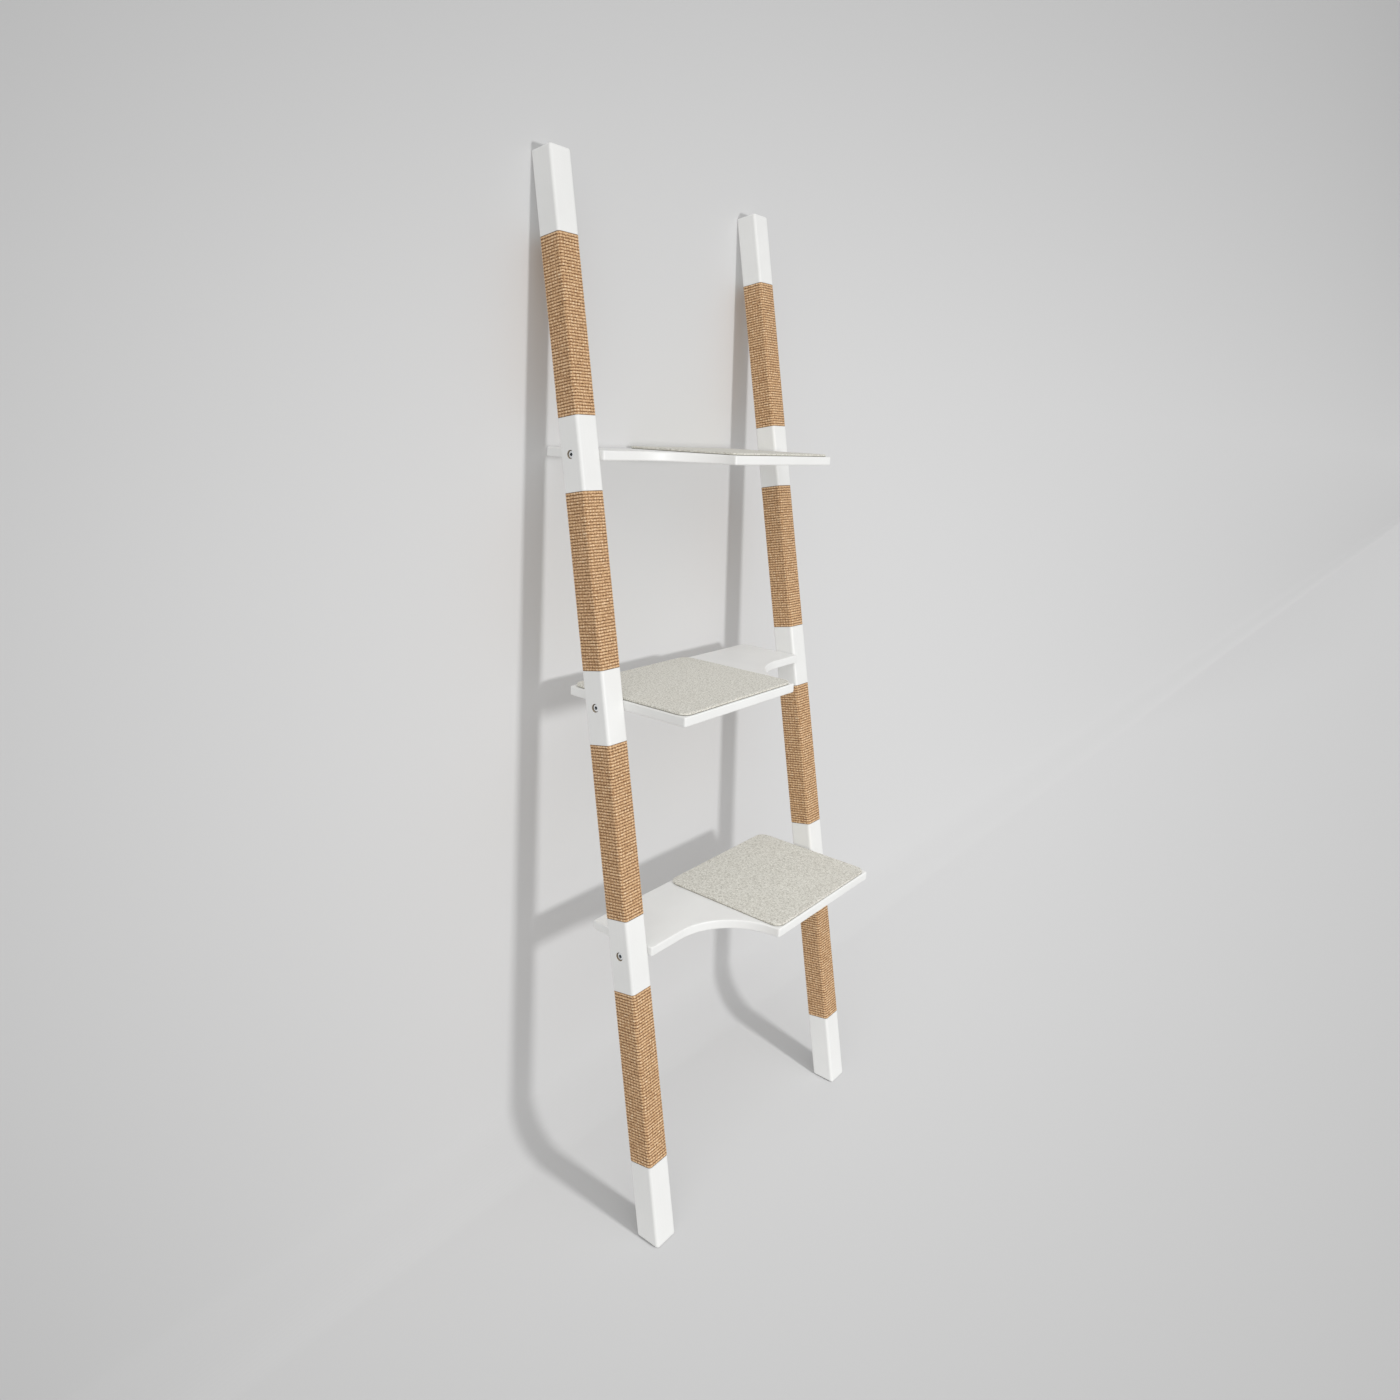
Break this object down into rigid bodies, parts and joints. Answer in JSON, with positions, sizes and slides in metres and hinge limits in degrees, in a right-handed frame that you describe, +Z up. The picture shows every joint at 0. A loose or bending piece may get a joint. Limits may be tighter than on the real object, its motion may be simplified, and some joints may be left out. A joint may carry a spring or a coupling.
{
  "type": "cat scratching ladder",
  "caption": "Ladder that leans on a wall for a cat to climb and scratch: white square posts with flush sisal sleeves, and coved shelves with felt pads.",
  "frame": {"origin": "on the floor, under the middle of the ladder's width and depth", "axes": "+Z up, +Y horizontally towards the wall that the ladder leans on, +X along the wall towards the post that is on the right for someone who faces the wall"},
  "size_m": [0.6558, 0.4394, 1.9281],
  "materials": {
    "lacquered_wood": "smooth white satin lacquer over solid wood",
    "sisal": "tight woven sisal matting, natural straw brown",
    "felt": "dense wool felt, light grey-beige with darker flecks",
    "bolt_steel": "zinc-plated steel",
    "rubber_pad": "matt black rubber"
  },
  "bodies": {
    "root": {"left_post": "lacquered_wood", "right_post": "lacquered_wood", "left_sleeve_1": "sisal", "left_sleeve_2": "sisal", "left_sleeve_3": "sisal", "left_sleeve_4": "sisal", "right_sleeve_1": "sisal", "right_sleeve_2": "sisal", "right_sleeve_3": "sisal", "right_sleeve_4": "sisal", "lower_shelf": "lacquered_wood", "lower_felt_pad": "felt", "middle_shelf": "lacquered_wood", "middle_felt_pad": "felt", "upper_shelf": "lacquered_wood", "upper_felt_pad": "felt", "lower_left_bolt": "bolt_steel", "lower_right_bolt": "bolt_steel", "middle_left_bolt": "bolt_steel", "middle_right_bolt": "bolt_steel", "upper_left_bolt": "bolt_steel", "upper_right_bolt": "bolt_steel", "left_foot_pad": "rubber_pad", "right_foot_pad": "rubber_pad"}
  },
  "joints": []
}
